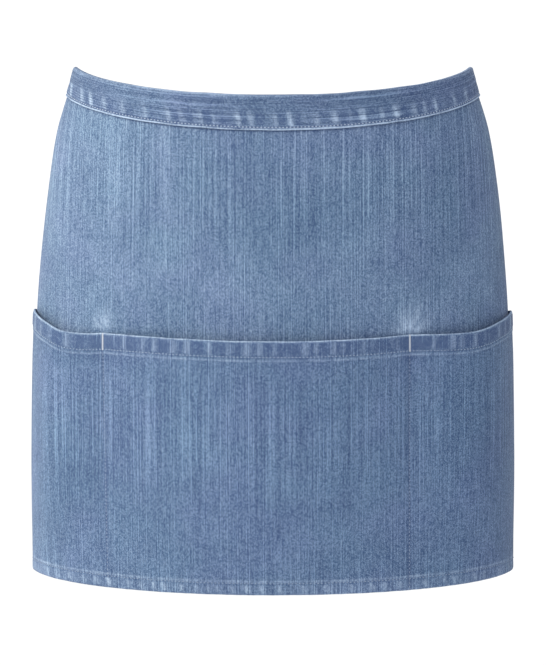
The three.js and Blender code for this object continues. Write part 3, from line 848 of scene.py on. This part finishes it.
def thread_shape(around=7, rings=5):
    """One stitch along X, from -0.5 to 0.5, with its middle raised, as (points, faces)."""
    spots = np.linspace(-1, 1, rings)
    points = []
    for x in spots:
        radius = math.sqrt(max(1 - abs(x) ** 3.0, 0.0)) * 0.92 + 0.08
        angle = np.arange(around) * 2 * math.pi / around
        rise = 0.55 * (1 - x * x) - 0.55
        ring = [np.full(around, x * 0.5), radius * np.cos(angle), radius * np.sin(angle) + rise]
        points.append(np.stack(ring, axis=1))
    points = np.concatenate(points)
    faces = []
    for r in range(rings - 1):
        for i in range(around):
            j = (i + 1) % around
            faces.append((r * around + i, r * around + j, (r + 1) * around + j, (r + 1) * around + i))
    faces.append(tuple(reversed(range(around))))
    faces.append(tuple(range((rings - 1) * around, rings * around)))
    return points, faces


THREAD_POINTS, THREAD_FACES = thread_shape()


def stitches(name, runs, radius=THREAD_RADIUS, length=STITCH_LENGTH, pitch=STITCH_PITCH, tilt=0.0):
    """Stitches along runs, each a pair of arrays: points on the cloth and the cloth's outward normals."""
    vertices, faces, loop_uv = [], [], []
    count = 0
    for points, normals in runs:
        steps = np.linalg.norm(np.diff(points, axis=0), axis=1)
        place = np.concatenate([[0], np.cumsum(steps)])
        number = int(place[-1] / pitch)
        if number < 1:
            continue
        middles = (np.arange(number) + 0.5) * place[-1] / number
        middle = np.stack([np.interp(middles, place, points[:, k]) for k in range(3)], axis=1)
        normal = np.stack([np.interp(middles, place, normals[:, k]) for k in range(3)], axis=1)
        normal /= np.linalg.norm(normal, axis=1)[:, None]
        tangents = np.gradient(points, axis=0)
        along_way = np.stack([np.interp(middles, place, tangents[:, k]) for k in range(3)], axis=1)
        along_way -= (along_way * normal).sum(1)[:, None] * normal
        along_way /= np.linalg.norm(along_way, axis=1)[:, None]
        cross = np.cross(normal, along_way)
        turned = tilt + 0.07 * noise(23, np.arange(number) * 1.7, 2.5)
        way = along_way * np.cos(turned)[:, None] + cross * np.sin(turned)[:, None]
        cross = np.cross(normal, way)
        size = length * (1 + 0.08 * noise(23, np.arange(number) * 1.3, 9.5))
        local = THREAD_POINTS
        block = (
            middle[:, None, :]
            + (size[:, None] * local[None, :, 0])[..., None] * way[:, None, :]
            + (radius * 1.15 * local[None, :, 1])[..., None] * cross[:, None, :]
            + (radius * local[None, :, 2] + radius * 0.75)[..., None] * normal[:, None, :]
        )
        vertices.append(block.reshape(-1, 3))
        along_run = np.repeat(middles, len(local)) + np.tile(local[:, 0], number) * length
        loop_uv.append(np.stack([along_run, np.tile(local[:, 1], number)], -1))
        for k in range(number):
            base = count + k * len(local)
            faces += [tuple(base + i for i in face) for face in THREAD_FACES]
        count += number * len(local)
    return new_object(name, np.concatenate(vertices), faces, np.concatenate(loop_uv))


def run_on(across, down, out):
    """A run of points a little out from the form, with the form's outward normals. A negative out faces inwards."""
    across, down, out = np.broadcast_arrays(*(np.asarray(v, float) for v in (across, down, out)))
    points = worn(across, down, out)
    normals = worn(across, down, out + 1.0) - points
    return points, normals * np.where(out < 0, -1, 1)[..., None]


def pocket_front(across, d):
    """Where the pocket's front face lies, as down and out, at distances below the mouth."""
    stand, sag = pocket_at(across)
    share = d / POCKET_DEPTH
    in_hem = 1 - smoothstep(d, MOUTH_HEM - 0.4, MOUTH_HEM + 1.1)
    thick = CLOTH + (MOUTH_HEM_FRONT + MOUTH_HEM_BACK) * in_hem
    back_face = SEAT + stand * (1 - share**3) + MOUTH_HEM_BACK * (1 - in_hem) * np.maximum(0, 1 - share * 2)
    return MOUTH + d + sag * (1 - smoothstep(d, MOUTH_HEM, MOUTH_HEM + 26)), back_face + thick


def build_stitching():
    rows = {}
    wide = np.linspace(LEFT_EDGE + 3, RIGHT_EDGE - 3, 420)
    stand = BAND_CAVITY / 2 + CLOTH
    band_line = WAISTBAND_HEIGHT - BAND_STITCH_LINE
    rows["stitches_band"] = [run_on(wide, band_line, CLOTH / 2 + stand - 0.3)]
    rows["stitches_band"].append(run_on(wide, band_line, CLOTH / 2 - stand + 0.05))
    for edge in (LEFT_EDGE + EDGE_STITCH_LINE, RIGHT_EDGE - EDGE_STITCH_LINE):
        down = np.linspace(2.5, band_line - 0.6, 30)
        rows["stitches_band"].append(run_on(edge, down, CLOTH / 2 + stand))
        rows["stitches_band"].append(run_on(edge, down, CLOTH / 2 - stand))
    down, out = pocket_front(wide, np.full_like(wide, MOUTH_STITCH_LINE))
    rows["stitches_mouth"] = [run_on(wide, down, out - 0.24)]
    sewn = []
    for number in range(len(TACKS)):
        d = np.linspace(MOUTH_HEM + 0.8, POCKET_DEPTH - 1.5, 120)
        place = divider_at(number, d)
        down, out = pocket_front(place, d)
        sewn.append(run_on(place, down, out - 0.08))
    rows["stitches_dividers"] = sewn
    d = np.full_like(wide, POCKET_DEPTH - FOOT_STITCH_LINE)
    down, out = pocket_front(wide, d)
    rows["stitches_foot"] = [run_on(wide, down, out - 0.1), run_on(wide, down, -LAYER_GAP - CLOTH - 0.02)]
    sides = []
    for edge, way in ((LEFT_EDGE, 1), (RIGHT_EDGE, -1)):
        line = edge + way * SIDE_STITCH_LINE
        down = np.linspace(WAISTBAND_HEIGHT + 1.5, MOUTH - 1.5, 90)
        sides.append(run_on(line, down, CLOTH - 0.1))
        down = np.linspace(WAISTBAND_HEIGHT + 3, FOOT_HEM_TOP - 2, 150)
        sides.append(run_on(line, down, -SIDE_HEM_TURNS + 0.12))
        for inset in (EDGE_STITCH_LINE, SIDE_STITCH_LINE):
            d = np.linspace(1.5, POCKET_DEPTH - 2, 120)
            place = edge + way * inset
            down, out = pocket_front(np.full_like(d, place), d)
            sides.append(run_on(place, down, out - 0.05))
    rows["stitches_sides"] = sides
    lengths = {name: SUNK_STITCH_LENGTH for name in rows}
    lengths["stitches_sides"] = STITCH_LENGTH
    return {name: stitches(name, runs, length=lengths[name]) for name, runs in rows.items()}


def build_tacks():
    runs = []
    for tack in TACKS:
        d = np.linspace(0.15, MOUTH_HEM - 1.2, 40)
        down, out = pocket_front(np.full_like(d, tack), d)
        points, normals = run_on(tack, down, out + 0.05)
        runs.append((points, normals))
    return stitches("bar_tacks", runs, TACK_THREAD_RADIUS, BAR_TACK_WIDTH, BAR_TACK_TURN, math.radians(TACK_TILT))


# Materials


class Nodes:
    """Short ways to make the nodes of one material."""

    def __init__(self, name):
        self.material = bpy.data.materials.new(name)
        self.material.use_nodes = True
        self.tree = self.material.node_tree
        self.tree.nodes.clear()

    def node(self, kind, inputs=None, **settings):
        made = self.tree.nodes.new(kind)
        for key, value in settings.items():
            setattr(made, key, value)
        for key, value in (inputs or {}).items():
            if isinstance(value, bpy.types.NodeSocket):
                self.tree.links.new(value, made.inputs[key])
            else:
                made.inputs[key].default_value = value
        return made

    def math(self, operation, a, b=0.0, c=None, clamp=False):
        inputs = {0: a, 1: b}
        if c is not None:
            inputs[2] = c
        return self.node("ShaderNodeMath", inputs, operation=operation, use_clamp=clamp).outputs[0]

    def add(self, *values):
        total = values[0]
        for value in values[1:]:
            total = self.math("ADD", total, value)
        return total

    def mix(self, factor, a, b, blend="MIX"):
        made = self.tree.nodes.new("ShaderNodeMix")
        made.data_type = "RGBA"
        made.blend_type = blend
        made.clamp_factor = True
        for key, value in ((0, factor), (6, a), (7, b)):
            if isinstance(value, bpy.types.NodeSocket):
                self.tree.links.new(value, made.inputs[key])
            else:
                made.inputs[key].default_value = value
        return made.outputs[2]

    def ramp(self, factor, stops):
        made = self.node("ShaderNodeValToRGB", {"Fac": factor})
        ramp = made.color_ramp
        while len(ramp.elements) < len(stops):
            ramp.elements.new(0.5)
        for element, (place, colour) in zip(ramp.elements, stops):
            element.position = place
            element.color = (*colour, 1)
        return made.outputs["Color"]

    def noise(self, vector, scale, detail=0.0, rough=0.5):
        made = self.node(
            "ShaderNodeTexNoise", {"Vector": vector, "Scale": scale, "Detail": detail, "Roughness": rough}
        )
        return made.outputs["Fac"]

    def spread(self, factor, amount):
        """A noise's distance from its middle, times an amount."""
        return self.math("MULTIPLY", self.math("SUBTRACT", factor, 0.5), amount)


WARP = 0.00034
WEFT = 0.00042


def denim(name, seed, gain, across_grain=False, inside=False, contrast=1.0):
    """Washed denim: warp yarns of uneven blue over a pale weft, in cloth coordinates in metres."""
    m = Nodes(name)
    uv = m.node("ShaderNodeUVMap", uv_map="cloth").outputs["UV"]
    place = m.node("ShaderNodeSeparateXYZ", {"Vector": uv})
    u, v = place.outputs["X"], place.outputs["Y"]
    if across_grain:
        u, v = v, u
    flat = m.node("ShaderNodeCombineXYZ", {"X": u, "Y": v, "Z": seed * 0.37}).outputs["Vector"]

    def drawn_out(width, length, salt):
        """Noise in soft lines that run with the warp."""
        across, down = m.math("DIVIDE", u, width), m.math("DIVIDE", v, length)
        spot = m.node("ShaderNodeCombineXYZ", {"X": across, "Y": down, "Z": seed + salt}).outputs["Vector"]
        return m.noise(spot, 1.0)

    # Thick and thin yarns: lines as long as a hand with a few pale slubs, and short ones among them
    line = drawn_out(0.00098, 0.15, 1.0)
    slub = m.math("MULTIPLY", m.math("MAXIMUM", m.math("SUBTRACT", line, 0.66), 0.0), 1.6 * contrast)
    streak = m.add(m.spread(line, 0.76 * contrast), slub)
    short = m.spread(drawn_out(0.0009, 0.018, 9.0), 0.45 * contrast)
    patch = m.spread(m.noise(flat, 24.0, 2.0, 0.5), 0.4)
    broad = m.spread(m.noise(flat, 7.0, 1.0, 0.5), 0.35)

    # Twill: every warp yarn floats over three wefts and dips under one, a step further down at each yarn
    warp_place, weft_place = m.math("DIVIDE", u, WARP), m.math("DIVIDE", v, WEFT)
    yarn = m.math("FLOOR", warp_place)
    across_yarn = m.math("FRACT", warp_place)
    along_float = m.math("FRACT", m.math("MULTIPLY", m.add(weft_place, yarn), 0.25))

    # Grain: short lengths of two yarns, each with its own shade, that start at their own heights
    pair = m.math("FLOOR", m.math("MULTIPLY", warp_place, 0.5))
    start = m.node("ShaderNodeTexWhiteNoise", {"W": m.add(pair, seed)}, noise_dimensions="1D").outputs["Value"]
    length = m.math("FLOOR", m.add(m.math("MULTIPLY", weft_place, 0.5), start))
    spot = m.node("ShaderNodeCombineXYZ", {"X": pair, "Y": length, "Z": seed}).outputs["Vector"]
    shade = m.node("ShaderNodeTexWhiteNoise", {"Vector": spot}, noise_dimensions="3D").outputs["Value"]
    grain = m.spread(shade, 0.56)
    value = m.add(0.47, streak, short, patch, broad, grain)

    wear = m.node("ShaderNodeAttribute", attribute_name="wear", attribute_type="GEOMETRY").outputs["Fac"]
    dark = m.node("ShaderNodeAttribute", attribute_name="dark", attribute_type="GEOMETRY").outputs["Fac"]
    lines = m.math("MULTIPLY", m.add(streak, short), 2.0)
    wear = m.math("MULTIPLY", wear, m.add(1.0, grain, lines), clamp=True)
    dark = m.math("MULTIPLY", dark, m.math("SUBTRACT", 1.0, m.add(lines, grain)), clamp=True)

    if inside:
        stops = [(0.0, (0.12, 0.17, 0.26)), (0.5, (0.22, 0.29, 0.39)), (1.0, (0.42, 0.50, 0.59))]
    else:
        stops = [(0.0, (0.030, 0.066, 0.145)), (0.5, (0.098, 0.152, 0.245)), (1.0, (0.230, 0.310, 0.425))]
    stops = [(spot, tuple(c * g for c, g in zip(colour, gain))) for spot, colour in stops]
    colour = m.ramp(value, stops)
    aside = m.node("ShaderNodeVectorMath", {0: flat, 1: (3.1, 1.7, 5.0)}, operation="ADD").outputs[0]
    hue = m.noise(aside, 17.0, 2.0, 0.55)
    tint = m.ramp(hue, [(0.36, (0.97, 1.01, 0.995)), (0.5, (1.0, 1.0, 1.0)), (0.64, (1.04, 0.99, 1.025))])
    colour = m.mix(1.0, colour, tint, "MULTIPLY")
    # Painted shade: the dark mark from the mesh mixes the colour towards deep blue in hollows, grooves and under
    # edges
    colour = m.mix(m.math("MULTIPLY", dark, 0.85), colour, (0.030, 0.062, 0.158, 1))
    colour = m.mix(m.math("MULTIPLY", wear, 0.85), colour, (0.36, 0.47, 0.65, 1))
    weft_shows = m.math("LESS_THAN", along_float, 0.22)
    pale = m.math("MULTIPLY", weft_shows, m.math("MULTIPLY", shade, 0.6 if inside else 0.42))
    colour = m.mix(pale, colour, (0.38, 0.46, 0.58, 1))

    rise = m.math("MULTIPLY", m.math("SUBTRACT", along_float, 0.2), math.pi / 0.8)
    profile = m.math("MULTIPLY", m.math("SINE", m.math("MULTIPLY", across_yarn, math.pi)), m.math("SINE", rise))
    height = m.add(m.math("MAXIMUM", profile, 0.0), m.math("MULTIPLY", grain, 0.5), streak)
    bump = m.node("ShaderNodeBump", {"Strength": 0.45, "Distance": 0.0002, "Height": height})
    shader = m.node(
        "ShaderNodeBsdfPrincipled",
        {
            "Base Color": colour,
            "Roughness": 0.88,
            "Specular IOR Level": 0.25,
            "Sheen Weight": 0.12,
            "Sheen Roughness": 0.45,
            "Sheen Tint": (0.85, 0.9, 1.0, 1),
            "Normal": bump.outputs["Normal"],
        },
    )
    m.node("ShaderNodeOutputMaterial", {"Surface": shader.outputs["BSDF"]})
    return m.material


def thread(name, low, high):
    """Sewing thread: two plies twisted together, dusty from washing."""
    m = Nodes(name)
    uv = m.node("ShaderNodeUVMap", uv_map="cloth").outputs["UV"]
    place = m.node("ShaderNodeSeparateXYZ", {"Vector": uv})
    twist = m.add(m.math("MULTIPLY", place.outputs["X"], 9000.0), m.math("MULTIPLY", place.outputs["Y"], 2600.0))
    ply = m.math("ABSOLUTE", m.math("SINE", twist))
    fuzz = m.noise(uv, 900.0, 2.0, 0.6)
    factor = m.add(m.math("MULTIPLY", ply, 0.55), m.math("MULTIPLY", fuzz, 0.55))
    # Painted shade: the colour darkens between the two plies, where the twist sinks in; the fuzz adds uneven tone
    colour = m.ramp(factor, [(0.15, low), (0.85, high)])
    bump = m.node("ShaderNodeBump", {"Strength": 0.5, "Distance": 0.00008, "Height": ply})
    shader = m.node(
        "ShaderNodeBsdfPrincipled",
        {
            "Base Color": colour,
            "Roughness": 0.7,
            "Specular IOR Level": 0.3,
            "Sheen Weight": 0.15,
            "Normal": bump.outputs["Normal"],
        },
    )
    m.node("ShaderNodeOutputMaterial", {"Surface": shader.outputs["BSDF"]})
    return m.material


def plain_floor(name):
    m = Nodes(name)
    place = m.node("ShaderNodeTexCoord").outputs["Object"]
    shade = m.ramp(m.noise(place, 3.0, 2.0), [(0.3, (0.955, 0.955, 0.955)), (0.7, (0.965, 0.965, 0.965))])
    shader = m.node("ShaderNodeBsdfPrincipled", {"Base Color": shade, "Roughness": 0.9, "Specular IOR Level": 0.1})
    m.node("ShaderNodeOutputMaterial", {"Surface": shader.outputs["BSDF"]})
    return m.material


# Put together

panel_denim = denim("denim_panel", 11.0, (0.82, 0.90, 1.02))
band_denim = denim("denim_band", 23.0, (0.63, 0.69, 0.85), across_grain=True, contrast=1.3)
pocket_denim = denim("denim_pocket", 37.0, (0.63, 0.735, 0.90))
tie_denim = denim("denim_tie", 53.0, (0.78, 0.80, 0.85))
inside_denim = denim("denim_inside", 61.0, (0.9, 0.9, 0.92), inside=True)
seam_thread = thread("seam_thread", (0.13, 0.19, 0.29), (0.32, 0.40, 0.53))
worn_thread = thread("worn_thread", (0.10, 0.15, 0.24), (0.24, 0.31, 0.44))
band_thread = thread("band_thread", (0.24, 0.32, 0.46), (0.50, 0.60, 0.76))
tack_thread = thread("tack_thread", (0.23, 0.27, 0.34), (0.46, 0.51, 0.62))


def dress(obj, *materials):
    for material in materials:
        obj.data.materials.append(material)
    return obj


panel = dress(build_panel(), panel_denim, inside_denim)
band = dress(build_band(), band_denim, inside_denim)
pocket = dress(build_pocket(), pocket_denim, inside_denim)
tie_left, left_runs = build_tie("tie_left_cloth", -1)
tie_right, right_runs = build_tie("tie_right_cloth", 1)
end_left, left_end_runs = build_tie_end("tie_end_left_cloth", -1)
end_right, right_end_runs = build_tie_end("tie_end_right_cloth", 1)
knot = build_knot()
for piece in (tie_left, tie_right, end_left, end_right, *knot):
    dress(piece, tie_denim)
seams = build_stitching()
seams["stitches_ties"] = stitches("stitches_ties", left_runs + right_runs + left_end_runs + right_end_runs)
tacks = dress(build_tacks(), tack_thread)
THREADS = {"stitches_band": band_thread, "stitches_foot": worn_thread, "stitches_dividers": worn_thread}
for name, piece in seams.items():
    dress(piece, THREADS.get(name, seam_thread))

STANDS_FOR = [
    (panel, "apron_panel", "denim_panel"),
    (band, "waistband", "denim_band"),
    (pocket, "pocket_panel", "denim_pocket"),
    (tie_left, "tie_left", "denim_tie"),
    (tie_right, "tie_right", "denim_tie"),
    (end_left, "tie_end_left", "denim_tie"),
    (end_right, "tie_end_right", "denim_tie"),
    (knot[0], "tie_knot", "denim_tie"),
]
for piece, node, slot in STANDS_FOR:
    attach(piece, "root")
    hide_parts(node)
for piece in knot[1:]:
    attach(piece, "root")
for piece in [*seams.values(), tacks]:
    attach(piece, "root")

# Floor, light and camera

scene = bpy.context.scene
half_floor = 20.0
floor_mesh = bpy.data.meshes.new("floor")
corners = [(-1, -1), (1, -1), (1, 1), (-1, 1)]
floor_mesh.from_pydata([(x * half_floor, y * half_floor, -1.0) for x, y in corners], [], [(0, 1, 2, 3)])
floor = bpy.data.objects.new("floor", floor_mesh)
scene.collection.objects.link(floor)
floor.data.materials.append(plain_floor("floor_paint"))

world = bpy.data.worlds.new("studio")
world.use_nodes = True
world.node_tree.nodes["Background"].inputs["Color"].default_value = (1, 1, 1, 1)
world.node_tree.nodes["Background"].inputs["Strength"].default_value = 1.08
scene.world = world
scene.view_settings.view_transform = "Standard"

middle = Vector((0, 0, CAMERA_TARGET * MM))


def way_to(azimuth, elevation):
    """The direction from the apron to an azimuth, which is 0 at the front and 90 at the viewer's right."""
    a, e = math.radians(azimuth), math.radians(elevation)
    return Vector((math.sin(a) * math.cos(e), -math.cos(a) * math.cos(e), math.sin(e)))


def soft_light(name, azimuth, elevation, distance, size, power, colour):
    way = way_to(azimuth, elevation)
    data = bpy.data.lights.new(name, "AREA")
    data.shape = "SQUARE"
    data.size = size
    data.energy = power
    data.color = colour
    lamp = bpy.data.objects.new(name, data)
    lamp.location = middle + way * distance
    lamp.rotation_euler = (-way).to_track_quat("-Z", "Y").to_euler()
    lamp.visible_camera = False
    scene.collection.objects.link(lamp)


def dark_flag(name, azimuth, distance, size):
    """A studio's dark board at the side, which holds back the light that comes from there. No camera sees it."""
    way = way_to(azimuth, 0)
    aside = Vector((way.y, -way.x, 0))
    up = Vector((0, 0, 1))
    mesh = bpy.data.meshes.new(name)
    corners = [(-1, -1), (1, -1), (1, 1), (-1, 1)]
    centre = middle + way * distance
    points = [centre + aside * (a * size / 2) + up * (b * size / 2) for a, b in corners]
    mesh.from_pydata(points, [], [(0, 1, 2, 3)])
    board = bpy.data.objects.new(name, mesh)
    scene.collection.objects.link(board)
    m = Nodes(name + "_felt")
    spot = m.node("ShaderNodeTexCoord").outputs["Object"]
    shade = m.ramp(m.noise(spot, 60.0, 2.0), [(0.3, (0.02, 0.02, 0.02)), (0.7, (0.03, 0.03, 0.03))])
    shader = m.node("ShaderNodeBsdfPrincipled", {"Base Color": shade, "Roughness": 1.0, "Specular IOR Level": 0.0})
    m.node("ShaderNodeOutputMaterial", {"Surface": shader.outputs["BSDF"]})
    mesh.materials.append(m.material)
    board.visible_camera = False


soft_light("key", -68, 32, 3.2, 1.8, 112, (1.0, 0.92, 0.74))
dark_flag("flag", 116, 1.75, 2.0)

camera_data = bpy.data.cameras.new("camera")
camera_data.sensor_width = SENSOR
camera_data.lens = CAMERA_DISTANCE / (PIXEL * MM) * SENSOR / LONG_SIDE
camera_data.clip_start = 0.1
camera_data.clip_end = 100
camera = bpy.data.objects.new("camera", camera_data)
tilt = math.radians(CAMERA_ELEVATION)
back_way = Vector((0, -math.cos(tilt), math.sin(tilt)))
camera.location = middle + back_way * CAMERA_DISTANCE
camera.rotation_euler = (-back_way).to_track_quat("-Z", "Y").to_euler()
scene.collection.objects.link(camera)
scene.camera = camera
